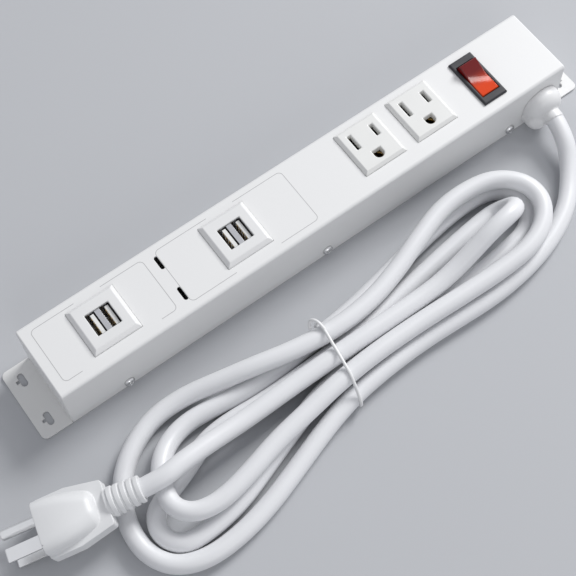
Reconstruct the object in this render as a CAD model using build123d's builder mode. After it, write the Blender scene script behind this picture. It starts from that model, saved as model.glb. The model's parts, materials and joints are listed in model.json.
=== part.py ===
from build123d import *

import os
from math import cos, pi, radians, sin, tan

# A steel power strip with two outlets, two double USB modules, a lit rocker switch and a corded plug.
# Millimetres. The origin is the middle of the casing's underside: +X runs along the strip towards
# the switch, +Y is the back and +Z is up. The cord lies on the ground in front of the strip.

os.makedirs("parts", exist_ok=True)

# ---------------------------------------------------------------- casing
case_length, case_width, case_height = 300.0, 41.0, 33.0
sheet = 0.9
cover_bend, end_bend = 1.8, 0.8
base_sheet, base_fit = 1.2, 0.1
side_flange = 10.5
ear_length, ear_corner = 15.8, 3.0
keyhole_from_case, keyhole_y = 8.3, 12.0
keyhole_length, keyhole_width = 7.6, 3.2
notch_length, notch_width = 1.7, 1.8
window_gap = 0.1

screw_x, screw_z = (-117.6, 0.0, 117.6), 5.3
screw_shank_r, screw_length = 1.45, 5.0
screw_head_r, screw_head_height, screw_rim = 2.8, 1.9, 0.6
screw_hole_r, thread_r = 1.7, 1.5
cross_length, cross_width, cross_depth = 3.2, 0.8, 1.0

# ---------------------------------------------------------------- outlets
outlet_x, outlet_y = (42.9, 75.0), 2.35
outlet_size_x, outlet_size_y = 24.8, 27.35
outlet_rise, outlet_bevel = 2.0, 1.5
lip_width, lip_thick = 1.2, 1.5
outlet_wall, outlet_slab = 1.6, 4.0
slot_y, blade_pitch, ground_below = 6.9, 12.7, 11.9
slot_width, neutral_slot, hot_slot, ground_hole_r = 2.2, 9.0, 7.0, 2.6
mouth_bevel = 0.35
tray_bottom, tray_floor, tray_top = 8.0, 10.0, 24.0
tray_wall, tray_overlap, tray_foot = 2.0, 1.0, 6.0
barrier_y, barrier_thick, barrier_height = -0.9, 1.2, 9.0
bus_thick, bus_width, bus_tail, bus_slot_gap = 0.8, 3.4, 3.5, 0.2
neutral_bus_y, hot_bus_y, ground_bus_y = 11.4, 2.4, -8.6
leaf_thick, leaf_gap, leaf_width, leaf_height = 0.7, 1.5, 5.0, 16.0
ground_socket_r, ground_slit, socket_below_slab = 2.4, 1.6, 0.4

# ---------------------------------------------------------------- USB modules
usb_x, usb_y = (-113.7, -39.1), 0.6
usb_size_x, usb_size_y = 26.0, 26.5
usb_rise, usb_bevel = 2.3, 1.9
port_pitch, port_opening, port_width = 7.9, 5.1, 12.5
shell_sheet, shell_gap = 0.35, 0.1
shell_below_face, shell_depth = 1.2, 17.0
tongue_thick, tongue_width, tongue_offset, tongue_below_shell = 1.9, 11.0, 0.8, 0.6
insulator_base, insulator_gap = 3.0, 0.1
contact_thick, contact_width, contact_pitch, contact_short = 0.25, 1.2, 2.5, 0.8
tab_length, board_thick = 2.1, 1.6
board_left, board_right, board_depth = 17.0, 29.0, 27.0
post_size, insulating_sheet = 3.0, 1.2
transformer_at, transformer_size, transformer_waist = 22.0, (12.0, 13.0, 12.5), 1.2
can_at, can_y, can_r, can_height, can_round = 21.5, 10.4, 2.9, 11.0, 0.4
obround_x, obround_y = -76.5, (10.0, -9.7)
obround_length, obround_width = 7.85, 2.3

# ---------------------------------------------------------------- switch
switch_x, switch_y = 109.5, 0.2
rocker_x, rocker_end_r, rocker_tilt = 10.3, 10.4, 11.0
rocker_side_gap, rocker_end_gap = 0.25, 0.3
body_side, body_end = 0.8, 2.9
bezel_side, bezel_end, bezel_rise, bezel_bevel = 0.9, 1.1, 1.5, 0.6
switch_bottom, switch_floor = 13.0, 1.8
snap_reach, snap_height = 1.0, 3.0
rocker_rise, rocker_skirt, rocker_wall, rocker_edge = 2.5, 4.6, 1.4, 0.5
pivot_below_bezel, pivot_r, pivot_gap, pivot_end_gap = 2.3, 1.1, 0.06, 0.1
stem_r, stem_bore_r, stem_length, bore_top = 2.3, 1.5, 6.6, 0.2
plunger_r, plunger_reach, plunger_length, plunger_round = 1.3, 8.95, 5.0, 1.17
spring_wire_r, spring_r, spring_turns, spring_end_gap = 0.22, 0.95, 5, 0.06
bridge_below_pivot, bridge_tilt = 10.3, 7.0
bridge_margin, bridge_width, bridge_thick, knuckle_r, knuckle_gap = 0.1, 4.4, 0.8, 1.0, 0.06
contact_r, contact_height, open_gap = 1.2, 0.5, 0.3
terminal_thick, terminal_width, terminal_end_gap, terminal_drop = 0.8, 4.8, 0.1, 7.0
terminal_gap, cradle_below = 0.05, 0.5
lamp_r, lamp_y, lamp_z = 1.5, -5.2, -1.4

# ---------------------------------------------------------------- wires inside
wire_r, thin_wire_r, wire_spread, wire_start = 1.3, 0.8, 2.6, 4.0
wire_below, feed_lane, feed_sway = 1.82, 4.0, 1.5
ground_screw_at = (124.0, -5.0)
lug_thick, lug_r, lug_hole_r, lug_reach = 1.0, 4.0, 2.1, 5.0
barrel_length, barrel_width, barrel_height = 3.5, 3.6, 3.4
ground_head_r, ground_head_height, ground_shank_r, ground_head_edge = 3.4, 2.4, 2.0, 0.6
ground_cross_length, ground_thread_gap = 4.8, 0.05

# ---------------------------------------------------------------- cord, strain relief, tie and plug
cord_r = 4.7
gland_x, gland_z, cord_below_gland = 136.0, 14.5, 1.5
dome_over_cord, dome_reach, dome_round = 5.9, 9.4, 6.8
lobe_r, lobe_reach, lobe_round, lobe_at = 6.3, 10.8, 5.6, (-4.7, -4.9)
snout_over_cord, snout_end_over_cord, snout_reach = 1.6, 0.2, 13.5
hole_over_cord, gland_fit, gland_shank_length = 2.4, 0.1, 9.0
nut_over_hole, gland_nut_thick, nut_room = 1.5, 3.0, 1.0

lead_drop = (-2.0, -10.0, -1.5)
lead_bends = [(129, -54, 7), (121, -64, cord_r), (111, -73, cord_r), (98, -80, cord_r), (83, -85, cord_r)]
tail_bends = [(-100, -72.5, 17), (-111, -73, 19.2), (-123, -74, 21.4)]
tail_last_run = 10.0
hank_low_outline = [
    (-160.5, -80), (-156, -103), (-136, -117), (-98, -114.5), (-56, -101), (-14, -92.5), (30, -93),
    (75, -90), (98, -76), (105, -58), (93, -41), (66, -34), (38, -39.5), (0, -51), (-40, -52),
    (-70, -46), (-98, -38), (-126, -38.5), (-149, -51),
]
hank_high_outline = [
    (-99, -85), (-80, -95), (-20, -87), (55, -88), (88, -81), (104, -66), (102, -50), (87, -39),
    (66, -35), (40, -40), (0, -52), (-40, -53), (-66, -48), (-90, -47), (-99, -60),
]
hank_high, cord_room = 19.0, 1.5
tie_at, tie_turn = (-33.0, -73.6), 8.0
tie_wire, tie_width, tie_gap = 1.2, 1.6, 0.1
tie_low_width, tie_high_width, tie_inside_height, tie_corner = 43.0, 31.0, 17.6, 4.5

neck_over_turns = 10.9
plug_face, neck_end = (-188.4, -61.3, 12.05), (-142.5, -73.0, 2 * cord_r + neck_over_turns)
plug_length = 32.0
face_width, face_height, face_round = 25.4, 23.4, 5.0
middle_share, middle_width, middle_height, middle_round = 0.5, 22.6, 22.4, 7.0
hump_share, hump_width, hump_height, hump_round, hump_end = 0.84, 15.6, 17.0, 7.4, 5.6
wing_width, wing_rear_width, wing_thick, wing_straight, wing_round = 28.6, 21.6, 7.6, 15.0, 1.6
wing_edge = 0.8
neck_over_cord, neck_end_over_cord, neck_ribs, rib_rise, rib_share = 1.8, 0.8, 5, 0.7, 0.7
neck_in_plug = 1.0
blade_length, blade_width, blade_thick, blade_tip = 17.7, 6.35, 1.5, 0.6
blade_shift = -5.5
pin_length, pin_r, pin_tip = 19.5, 2.38, 1.2

# ---------------------------------------------------------------- worked out once
half_length, half_width = case_length / 2, case_width / 2
inner_top, inner_half_width = case_height - sheet, half_width - sheet
plate_half_width = inner_half_width - base_fit
keyhole_x = half_length + keyhole_from_case
outlet_face_z = case_height + outlet_rise
tray_left = outlet_x[0] - outlet_size_x / 2 - tray_overlap
tray_right = outlet_x[-1] + outlet_size_x / 2 + tray_overlap
tray_front = outlet_y - outlet_size_y / 2 - tray_overlap
tray_back = outlet_y + outlet_size_y / 2 + tray_overlap
bus_z = tray_floor + bus_thick / 2
usb_face_z = case_height + usb_rise
shell_top = usb_face_z - shell_below_face
shell_bottom = shell_top - shell_depth
board_top = shell_bottom - tab_length
shell_half_x = (port_pitch + port_opening) / 2 + shell_sheet
shell_half_y = port_width / 2 + shell_sheet
opening_x, opening_y = rocker_x + 2 * rocker_side_gap, 2 * (rocker_end_r + rocker_end_gap)
body_x, body_y = opening_x + 2 * body_side, opening_y + 2 * body_end
bezel_x, bezel_y = body_x + 2 * bezel_side, body_y + 2 * bezel_end
terminal_pitch = opening_y / 2 - terminal_width / 2 - terminal_end_gap
bridge_length = 2 * (terminal_pitch + contact_r + bridge_margin)
pivot_z = case_height + bezel_rise - pivot_below_bezel
bridge_z = pivot_z - bridge_below_pivot
terminal_low = switch_bottom - terminal_drop
terminal_wire_z = switch_bottom - terminal_drop / 2
gland_inner_y = gland_shank_length - half_width
gland_hole_r = cord_r + hole_over_cord
gland_nut_r = gland_hole_r + nut_over_hole
plug_axis = Vector(*plug_face) - Vector(*neck_end)
plug_direction, neck_length = plug_axis.normalized(), plug_axis.length - plug_length
neck_r, neck_end_r = cord_r + neck_over_cord, cord_r + neck_end_over_cord
lead_start = Vector(gland_x, -half_width - snout_reach, gland_z - cord_below_gland)
lead_second = lead_start + Vector(*lead_drop)
lead_route = [tuple(lead_start), tuple(lead_second), *lead_bends]
tail_route = [*tail_bends, tuple(Vector(*neck_end) - plug_direction * tail_last_run), neck_end]


def block(low, high, mode=Mode.ADD):
    """A box between two corners, in the part that is being built."""
    with Locations([tuple((a + b) / 2 for a, b in zip(low, high))]):
        Box(*(b - a for a, b in zip(low, high)), mode=mode)


def save(part, label):
    """Name a finished piece and write it."""
    part.label = label
    export_step(part, f"parts/{label}.step")


def eased_radii(points):
    """For each corner of a route, the largest arc that its two runs allow."""
    radii = []
    for before, corner, after in zip(points, points[1:], points[2:]):
        run_in, run_out = Vector(*corner) - Vector(*before), Vector(*after) - Vector(*corner)
        half_turn = radians(run_in.get_angle(run_out)) / 2
        radii.append(0.45 * min(run_in.length, run_out.length) / tan(half_turn))
    return radii


def tube(points, radius):
    """A round wire along straight runs that tangent arcs join."""
    with BuildPart() as wire:
        with BuildLine() as path:
            FilletPolyline(*points, radius=eased_radii(points))
        with BuildSketch(Plane(origin=path.line @ 0, z_dir=path.line % 0)):
            Circle(radius)
        sweep()
    return wire.part


# ---------------------------------------------------------------- the steel casing
with BuildPart() as top_cover:
    block((-half_length, -half_width, 0), (half_length, half_width, case_height))
    top_edges = top_cover.edges().group_by(Axis.Z)[-1]
    fillet(top_edges.filter_by(Axis.X), radius=cover_bend)
    fillet(top_cover.faces().sort_by(Axis.Z)[-1].edges().filter_by(Axis.Y), radius=end_bend)
    block(
        (sheet - half_length, -inner_half_width, -1),
        (half_length - sheet, inner_half_width, inner_top),
        mode=Mode.SUBTRACT,
    )
    block(
        (-half_length - 1, -inner_half_width, -1),
        (half_length + 1, inner_half_width, base_sheet),
        mode=Mode.SUBTRACT,
    )
    with BuildSketch(Plane.XY.offset(inner_top)):
        with Locations([(x, outlet_y) for x in outlet_x]):
            Rectangle(outlet_size_x + 2 * window_gap, outlet_size_y + 2 * window_gap)
        with Locations([(x, usb_y) for x in usb_x]):
            Rectangle(usb_size_x + 2 * window_gap, usb_size_y + 2 * window_gap)
        with Locations((switch_x, switch_y)):
            Rectangle(body_x + 2 * window_gap, body_y + 2 * window_gap)
        with Locations([(obround_x, y) for y in obround_y]):
            SlotOverall(obround_length, obround_width, rotation=90)
    extrude(amount=2 * sheet, mode=Mode.SUBTRACT)
    with Locations([Location((x, 0, screw_z), (90, 0, 0)) for x in screw_x]):
        Cylinder(screw_hole_r, 2 * case_width, mode=Mode.SUBTRACT)
    with Locations([Location((gland_x, -half_width, gland_z), (90, 0, 0))]):
        Cylinder(gland_hole_r, 4 * sheet, mode=Mode.SUBTRACT)
save(top_cover.part, "top_cover")

with BuildPart() as base_plate:
    with BuildSketch():
        Rectangle(case_length + ear_length, 2 * plate_half_width)
        ear_x = half_length + (base_fit + ear_length) / 2
        with Locations((-ear_x, 0), (ear_x, 0)):
            Rectangle(ear_length - base_fit, case_width)
        fillet(vertices().group_by(Axis.X)[0] + vertices().group_by(Axis.X)[-1], radius=ear_corner)
        for end in (-1, 1):
            with Locations([(end * keyhole_x, y) for y in (-keyhole_y, keyhole_y)]):
                SlotOverall(keyhole_length, keyhole_width, rotation=90, mode=Mode.SUBTRACT)
            notch_middle = end * (keyhole_x + (keyhole_width / 2 + notch_length) / 2)
            with Locations([(notch_middle, y) for y in (-keyhole_y, keyhole_y)]):
                Rectangle(keyhole_width / 2 + notch_length, notch_width, mode=Mode.SUBTRACT)
        with Locations(ground_screw_at):
            Circle(ground_shank_r + ground_thread_gap, mode=Mode.SUBTRACT)
    extrude(amount=base_sheet)
    for side in (-1, 1):
        edges_y = sorted((side * plate_half_width, side * (plate_half_width - base_sheet)))
        block(
            (2 * sheet - half_length, edges_y[0], 0),
            (half_length - 2 * sheet, edges_y[1], side_flange),
        )
    with Locations([Location((x, 0, screw_z), (90, 0, 0)) for x in screw_x]):
        Cylinder(thread_r, 2 * case_width, mode=Mode.SUBTRACT)
    block(
        (gland_x - gland_nut_r - nut_room, -half_width, base_sheet),
        (gland_x + gland_nut_r + nut_room, nut_room + base_sheet - plate_half_width, side_flange + 1),
        mode=Mode.SUBTRACT,
    )
save(base_plate.part, "base_plate")

with BuildPart() as screw:
    Cylinder(screw_head_r, screw_head_height, align=(Align.CENTER, Align.CENTER, Align.MIN))
    fillet(screw.edges().group_by(Axis.Z)[-1], radius=screw_head_height - screw_rim)
    Cylinder(screw_shank_r, screw_length, align=(Align.CENTER, Align.CENTER, Align.MAX))
    with BuildSketch(Plane.XY.offset(screw_head_height)):
        Rectangle(cross_length, cross_width)
        Rectangle(cross_width, cross_length)
    extrude(amount=-cross_depth, mode=Mode.SUBTRACT)

with BuildPart() as side_screws:
    for side in (-1, 1):
        for x in screw_x:
            seat = Plane(origin=(x, side * half_width, screw_z), x_dir=(1, 0, 0), z_dir=(0, side, 0))
            with Locations(seat):
                add(screw.part)
save(side_screws.part, "side_screws")


# ---------------------------------------------------------------- outlets
def outlet_face(x):
    """A moulded outlet face that comes up through the cover and stands on the contact tray."""
    left, right = x - outlet_size_x / 2, x + outlet_size_x / 2
    front, back = outlet_y - outlet_size_y / 2, outlet_y + outlet_size_y / 2
    with BuildPart() as face:
        block((left, front, tray_top), (right, back, outlet_face_z))
        chamfer(face.faces().sort_by(Axis.Z)[-1].edges(), length=outlet_bevel)
        block(
            (left - lip_width, front - lip_width, inner_top - lip_thick),
            (right + lip_width, back + lip_width, inner_top),
        )
        block(
            (left + outlet_wall, front + outlet_wall, tray_top - 1),
            (right - outlet_wall, back - outlet_wall, outlet_face_z - outlet_slab),
            mode=Mode.SUBTRACT,
        )
        with BuildSketch(Plane.XY.offset(outlet_face_z)) as mouths:
            with Locations((x - blade_pitch / 2, slot_y)):
                Rectangle(slot_width, neutral_slot)
            with Locations((x + blade_pitch / 2, slot_y)):
                Rectangle(slot_width, hot_slot)
            with Locations((x, slot_y - ground_below)):
                Circle(ground_hole_r)
            with Locations((x, slot_y - ground_below + ground_hole_r / 2)):
                Rectangle(2 * ground_hole_r, ground_hole_r)
        extrude(amount=-2 * outlet_slab, mode=Mode.SUBTRACT)
        mouth_edges = face.faces().filter_by(Plane.XY).sort_by(Axis.Z)[-1].inner_wires().edges()
        chamfer(mouth_edges, length=mouth_bevel)
    return face.part


for number, x in enumerate(outlet_x, start=1):
    save(outlet_face(x), f"outlet_{number}_face")

with BuildPart() as contact_tray:
    block((tray_left, tray_front, tray_bottom), (tray_right, tray_back, tray_top))
    block(
        (tray_left + tray_wall, tray_front + tray_wall, tray_floor),
        (tray_right - tray_wall, tray_back - tray_wall, tray_top + 1),
        mode=Mode.SUBTRACT,
    )
    block(
        (tray_left, barrier_y - barrier_thick / 2, tray_floor),
        (tray_right, barrier_y + barrier_thick / 2, tray_floor + barrier_height),
    )
    for y in (neutral_bus_y, hot_bus_y, ground_bus_y):
        half_slot = bus_width / 2 + bus_slot_gap
        block(
            (tray_left - 1, y - half_slot, tray_floor),
            (tray_right + 1, y + half_slot, tray_floor + bus_thick + bus_slot_gap),
            mode=Mode.SUBTRACT,
        )
    for foot_x in (tray_left, tray_right - tray_foot):
        for foot_y in (tray_front, tray_back - tray_foot):
            block(
                (foot_x, foot_y, base_sheet),
                (foot_x + tray_foot, foot_y + tray_foot, tray_bottom),
            )
save(contact_tray.part, "contact_tray")


def bus_strip(y):
    """The flat strip of a bus bar on the tray's floor, with a tail at each end for a wire."""
    block(
        (tray_left - bus_tail, y - bus_width / 2, tray_floor),
        (tray_right + bus_tail, y + bus_width / 2, tray_floor + bus_thick),
    )


def blade_bus(y, side):
    """A bus bar with a sprung fork at each outlet for one of a plug's two flat blades."""
    with BuildPart() as bus:
        bus_strip(y)
        for x in outlet_x:
            fork_x = x + side * blade_pitch / 2
            half_gap = leaf_gap / 2
            near, far = sorted((y, slot_y - leaf_width / 2 if y > slot_y else slot_y + leaf_width / 2))
            block(
                (fork_x - half_gap - leaf_thick, near, tray_floor),
                (fork_x + half_gap + leaf_thick, far, tray_floor + bus_thick),
            )
            for leaf_x in (fork_x - half_gap - leaf_thick, fork_x + half_gap):
                block(
                    (leaf_x, slot_y - leaf_width / 2, tray_floor),
                    (leaf_x + leaf_thick, slot_y + leaf_width / 2, tray_floor + leaf_height),
                )
    return bus.part


save(blade_bus(neutral_bus_y, -1), "neutral_bus")
save(blade_bus(hot_bus_y, 1), "hot_bus")

with BuildPart() as ground_bus:
    bus_strip(ground_bus_y)
    with BuildSketch(Plane.XY.offset(tray_floor)):
        with Locations([(x, slot_y - ground_below) for x in outlet_x]):
            Circle(ground_socket_r + leaf_thick)
            Circle(ground_socket_r, mode=Mode.SUBTRACT)
        slit_y = slot_y - ground_below + ground_socket_r
        with Locations([(x, slit_y) for x in outlet_x]):
            Rectangle(ground_slit, 2 * ground_socket_r, mode=Mode.SUBTRACT)
    extrude(amount=outlet_face_z - outlet_slab - socket_below_slab - tray_floor)
save(ground_bus.part, "ground_bus")


# ---------------------------------------------------------------- USB modules
def usb_bezel(x):
    """The bevelled frame round a double USB socket, on four legs that stand on the board."""
    left, right = x - usb_size_x / 2, x + usb_size_x / 2
    front, back = usb_y - usb_size_y / 2, usb_y + usb_size_y / 2
    lip_bottom = inner_top - lip_thick
    with BuildPart() as bezel:
        block((left, front, lip_bottom), (right, back, usb_face_z))
        chamfer(bezel.faces().sort_by(Axis.Z)[-1].edges(), length=usb_bevel)
        block(
            (left - lip_width, front - lip_width, lip_bottom),
            (right + lip_width, back + lip_width, inner_top),
        )
        for leg_x in (left, right - post_size):
            for leg_y in (front, back - post_size):
                block((leg_x, leg_y, board_top), (leg_x + post_size, leg_y + post_size, lip_bottom))
        block(
            (x - shell_half_x + shell_sheet, usb_y - port_width / 2, lip_bottom - 1),
            (x + shell_half_x - shell_sheet, usb_y + port_width / 2, usb_face_z + 1),
            mode=Mode.SUBTRACT,
        )
        block(
            (x - shell_half_x - shell_gap, usb_y - shell_half_y - shell_gap, lip_bottom - 1),
            (x + shell_half_x + shell_gap, usb_y + shell_half_y + shell_gap, shell_top),
            mode=Mode.SUBTRACT,
        )
    return bezel.part


def usb_shell(x):
    """The folded steel can of two USB sockets side by side, on four solder tabs."""
    with BuildPart() as shell:
        block(
            (x - shell_half_x, usb_y - shell_half_y, shell_bottom),
            (x + shell_half_x, usb_y + shell_half_y, shell_top),
        )
        for port in (x - port_pitch / 2, x + port_pitch / 2):
            block(
                (port - port_opening / 2, usb_y - port_width / 2, shell_bottom + shell_sheet),
                (port + port_opening / 2, usb_y + port_width / 2, shell_top + 1),
                mode=Mode.SUBTRACT,
            )
        for tab_x in (x - shell_half_x, x + shell_half_x - shell_sheet):
            for tab_y in (usb_y - shell_half_y, usb_y + shell_half_y - post_size):
                block(
                    (tab_x, tab_y, board_top),
                    (tab_x + shell_sheet, tab_y + post_size, shell_bottom),
                )
    return shell.part


def usb_insulator(x):
    """The white tongue of each port, on its base in the can."""
    base_low = shell_bottom + shell_sheet
    with BuildPart() as insulator:
        for port in (x - port_pitch / 2, x + port_pitch / 2):
            reach_x, reach_y = port_opening / 2 - insulator_gap, port_width / 2 - insulator_gap
            block(
                (port - reach_x, usb_y - reach_y, base_low),
                (port + reach_x, usb_y + reach_y, base_low + insulator_base),
            )
            tongue = port + tongue_offset
            block(
                (tongue - tongue_thick / 2, usb_y - tongue_width / 2, base_low),
                (tongue + tongue_thick / 2, usb_y + tongue_width / 2, shell_top - tongue_below_shell),
            )
    return insulator.part


def usb_contacts(x):
    """Four sprung contact strips on the left side of each tongue."""
    low, high = shell_bottom + shell_sheet + insulator_base, shell_top - tongue_below_shell - contact_short
    with BuildPart() as contacts:
        for port in (x - port_pitch / 2, x + port_pitch / 2):
            seat = port + tongue_offset - tongue_thick / 2
            for step in (-1.5, -0.5, 0.5, 1.5):
                middle = usb_y + step * contact_pitch
                block(
                    (seat - contact_thick, middle - contact_width / 2, low),
                    (seat, middle + contact_width / 2, high),
                )
    return contacts.part


def usb_board(x):
    """The circuit board under a USB module."""
    with BuildPart() as board:
        block(
            (x - board_left, usb_y - board_depth / 2, board_top - board_thick),
            (x + board_right, usb_y + board_depth / 2, board_top),
        )
    return board.part


def usb_insulating_tray(x):
    """The plastic tray that keeps a board off the steel base."""
    left, right = x - board_left, x + board_right
    front, back = usb_y - board_depth / 2, usb_y + board_depth / 2
    with BuildPart() as tray:
        block((left, front, base_sheet), (right, back, base_sheet + insulating_sheet))
        for post_x in (left, right - post_size):
            for post_y in (front, back - post_size):
                block(
                    (post_x, post_y, base_sheet),
                    (post_x + post_size, post_y + post_size, board_top - board_thick),
                )
    return tray.part


def usb_transformer(x):
    """The small switching transformer, a ferrite core round a taped winding."""
    size_x, size_y, size_z = transformer_size
    with BuildPart() as transformer:
        with Locations((x + transformer_at, usb_y, board_top + size_z / 2)):
            Box(size_x, size_y, size_z)
            for side in (-1, 1):
                with Locations((0, side * (size_y - transformer_waist) / 2, 0)):
                    Box(size_x / 2, transformer_waist, size_z, mode=Mode.SUBTRACT)
    return transformer.part


def usb_capacitors(x):
    """Two round electrolytic capacitors beside the transformer."""
    with BuildPart() as cans:
        with BuildSketch(Plane.XY.offset(board_top)):
            with Locations([(x + can_at, usb_y + side * can_y) for side in (-1, 1)]):
                Circle(can_r)
        extrude(amount=can_height)
        fillet(cans.faces().filter_by(Plane.XY).group_by(Axis.Z)[-1].edges(), radius=can_round)
    return cans.part


for number, x in enumerate(usb_x, start=1):
    save(usb_bezel(x), f"usb_{number}_bezel")
    save(usb_shell(x), f"usb_{number}_shell")
    save(usb_insulator(x), f"usb_{number}_tongues")
    save(usb_contacts(x), f"usb_{number}_contacts")
    save(usb_board(x), f"usb_{number}_board")
    save(usb_insulating_tray(x), f"usb_{number}_tray")
    save(usb_transformer(x), f"usb_{number}_transformer")
    save(usb_capacitors(x), f"usb_{number}_capacitors")

# ---------------------------------------------------------------- rocker switch
with BuildPart() as switch_housing:
    block(
        (switch_x - bezel_x / 2, switch_y - bezel_y / 2, case_height),
        (switch_x + bezel_x / 2, switch_y + bezel_y / 2, case_height + bezel_rise),
    )
    chamfer(switch_housing.faces().sort_by(Axis.Z)[-1].edges(), length=bezel_bevel)
    block(
        (switch_x - body_x / 2, switch_y - body_y / 2, switch_bottom),
        (switch_x + body_x / 2, switch_y + body_y / 2, case_height),
    )
    block(
        (switch_x - body_x / 4, switch_y - body_y / 2 - snap_reach, inner_top - snap_height),
        (switch_x + body_x / 4, switch_y + body_y / 2 + snap_reach, inner_top),
    )
    block(
        (switch_x - opening_x / 2, switch_y - opening_y / 2, switch_bottom + switch_floor),
        (switch_x + opening_x / 2, switch_y + opening_y / 2, case_height + bezel_rise + 1),
        mode=Mode.SUBTRACT,
    )
    with Locations([Location((switch_x, switch_y, pivot_z), (0, 90, 0))]):
        Cylinder(pivot_r + pivot_gap, body_x, mode=Mode.SUBTRACT)
    for step in (-1, 0, 1):
        with Locations((switch_x, switch_y + step * terminal_pitch, switch_bottom)):
            Box(
                terminal_thick + 2 * terminal_gap, terminal_width + 2 * terminal_gap, 4 * switch_floor,
                mode=Mode.SUBTRACT,
            )
save(switch_housing.part, "switch_housing")

tilt = radians(rocker_tilt)
rocker_side = Plane(
    origin=(switch_x, switch_y, pivot_z), x_dir=(0, cos(tilt), sin(tilt)), z_dir=(1, 0, 0)
)
rocker_frame = Plane(
    origin=(switch_x, switch_y, pivot_z), x_dir=(1, 0, 0), z_dir=(0, -sin(tilt), cos(tilt))
)


def rocker_profile(end_r, rise, skirt):
    """The rocker's side view: round ends about the pivot under two slopes that meet in a valley."""
    reach = end_r + 1
    Circle(end_r)
    Polygon(
        (-reach, rise + reach * tan(tilt)), (-reach, -skirt), (reach, -skirt),
        (reach, rise + reach * tan(tilt)), (0, rise),
        align=None, mode=Mode.INTERSECT,
    )


with BuildPart() as switch_rocker:
    with BuildSketch(rocker_side):
        rocker_profile(rocker_end_r, rocker_rise, rocker_skirt)
    extrude(amount=rocker_x / 2, both=True)
    slopes = [face for face in switch_rocker.faces() if face.normal_at().Z > 0.85]
    rims = [edge for slope in slopes for edge in slope.edges()]
    fillet([edge for edge in rims if rims.count(edge) == 1], radius=rocker_edge)
    with BuildSketch(rocker_side):
        rocker_profile(rocker_end_r - rocker_wall, rocker_rise - rocker_wall, rocker_skirt + 1)
    extrude(amount=rocker_x / 2 - rocker_wall, both=True, mode=Mode.SUBTRACT)
    with BuildSketch(rocker_frame.offset(-stem_length)):
        Circle(stem_r)
    extrude(amount=stem_length + rocker_rise - rocker_wall / 2)
    with BuildSketch(rocker_frame.offset(-stem_length)):
        Circle(stem_bore_r)
    extrude(amount=stem_length + bore_top, mode=Mode.SUBTRACT)
    for side in (-1, 1):
        pin_plane = Plane(origin=(switch_x + side * (rocker_x / 2 - rocker_wall), switch_y, pivot_z),
                          z_dir=(side, 0, 0))
        with BuildSketch(pin_plane):
            Circle(pivot_r)
        extrude(amount=rocker_wall + (body_x - rocker_x) / 2 - pivot_end_gap)
save(switch_rocker.part, "switch_rocker")

with BuildPart() as switch_plunger:
    with BuildSketch(rocker_frame.offset(-plunger_reach)):
        Circle(plunger_r)
    extrude(amount=plunger_length)
    fillet(switch_plunger.edges().group_by(Axis.Z)[0], radius=plunger_round)
save(switch_plunger.part, "switch_plunger")

spring_low = plunger_length - plunger_reach + spring_wire_r + spring_end_gap
spring_high = bore_top - spring_wire_r - spring_end_gap
with BuildPart() as coil_spring:
    with BuildLine() as coil:
        Helix(
            pitch=(spring_high - spring_low) / spring_turns,
            height=spring_high - spring_low,
            radius=spring_r,
        )
    with BuildSketch(Plane(origin=coil.line @ 0, z_dir=coil.line % 0)):
        Circle(spring_wire_r)
    sweep(is_frenet=True)

with BuildPart() as switch_spring:
    with Locations(rocker_frame.offset(spring_low)):
        add(coil_spring.part)
save(switch_spring.part, "switch_spring")

with BuildPart() as switch_lamp:
    lamp_plane = Plane(origin=rocker_frame.from_local_coords(Vector(0, lamp_y, lamp_z)), z_dir=(1, 0, 0))
    with BuildSketch(lamp_plane):
        Circle(lamp_r)
    extrude(amount=rocker_x / 2 - rocker_wall, both=True)
save(switch_lamp.part, "switch_lamp")

rest_tilt = radians(-bridge_tilt)
bridge_frame = Plane(
    origin=(switch_x, switch_y, bridge_z), x_dir=(1, 0, 0), z_dir=(0, -sin(rest_tilt), cos(rest_tilt))
)
with BuildPart() as switch_bridge:
    with BuildSketch(bridge_frame.offset(knuckle_r - bridge_thick)):
        RectangleRounded(bridge_width, bridge_length, bridge_width / 4)
    extrude(amount=bridge_thick)
    with BuildSketch(bridge_frame.offset(knuckle_r - bridge_thick)):
        with Locations((0, -terminal_pitch), (0, terminal_pitch)):
            Circle(contact_r)
    extrude(amount=-contact_height)
    with BuildSketch(Plane(origin=(switch_x, switch_y, bridge_z), z_dir=(1, 0, 0))):
        Circle(knuckle_r)
    extrude(amount=bridge_width / 2, both=True)
save(switch_bridge.part, "switch_bridge")

contact_under = knuckle_r - bridge_thick - contact_height
closed_contact_z = bridge_z + contact_under * cos(rest_tilt) + terminal_pitch * sin(rest_tilt)
fixed_contact_z = closed_contact_z - open_gap
with BuildPart() as switch_terminals:
    for step in (-1, 0, 1):
        middle_y = switch_y + step * terminal_pitch
        strip_top = fixed_contact_z - contact_height if step else bridge_z - cradle_below
        block(
            (switch_x - terminal_thick / 2, middle_y - terminal_width / 2, terminal_low),
            (switch_x + terminal_thick / 2, middle_y + terminal_width / 2, strip_top),
        )
        if step:
            with BuildSketch(Plane.XY.offset(strip_top)):
                with Locations((switch_x, middle_y)):
                    Circle(contact_r)
            extrude(amount=contact_height)
    with Locations([Location((switch_x, switch_y, bridge_z), (0, 90, 0))]):
        Cylinder(knuckle_r + knuckle_gap, bridge_width, mode=Mode.SUBTRACT)
save(switch_terminals.part, "switch_terminals")

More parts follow.
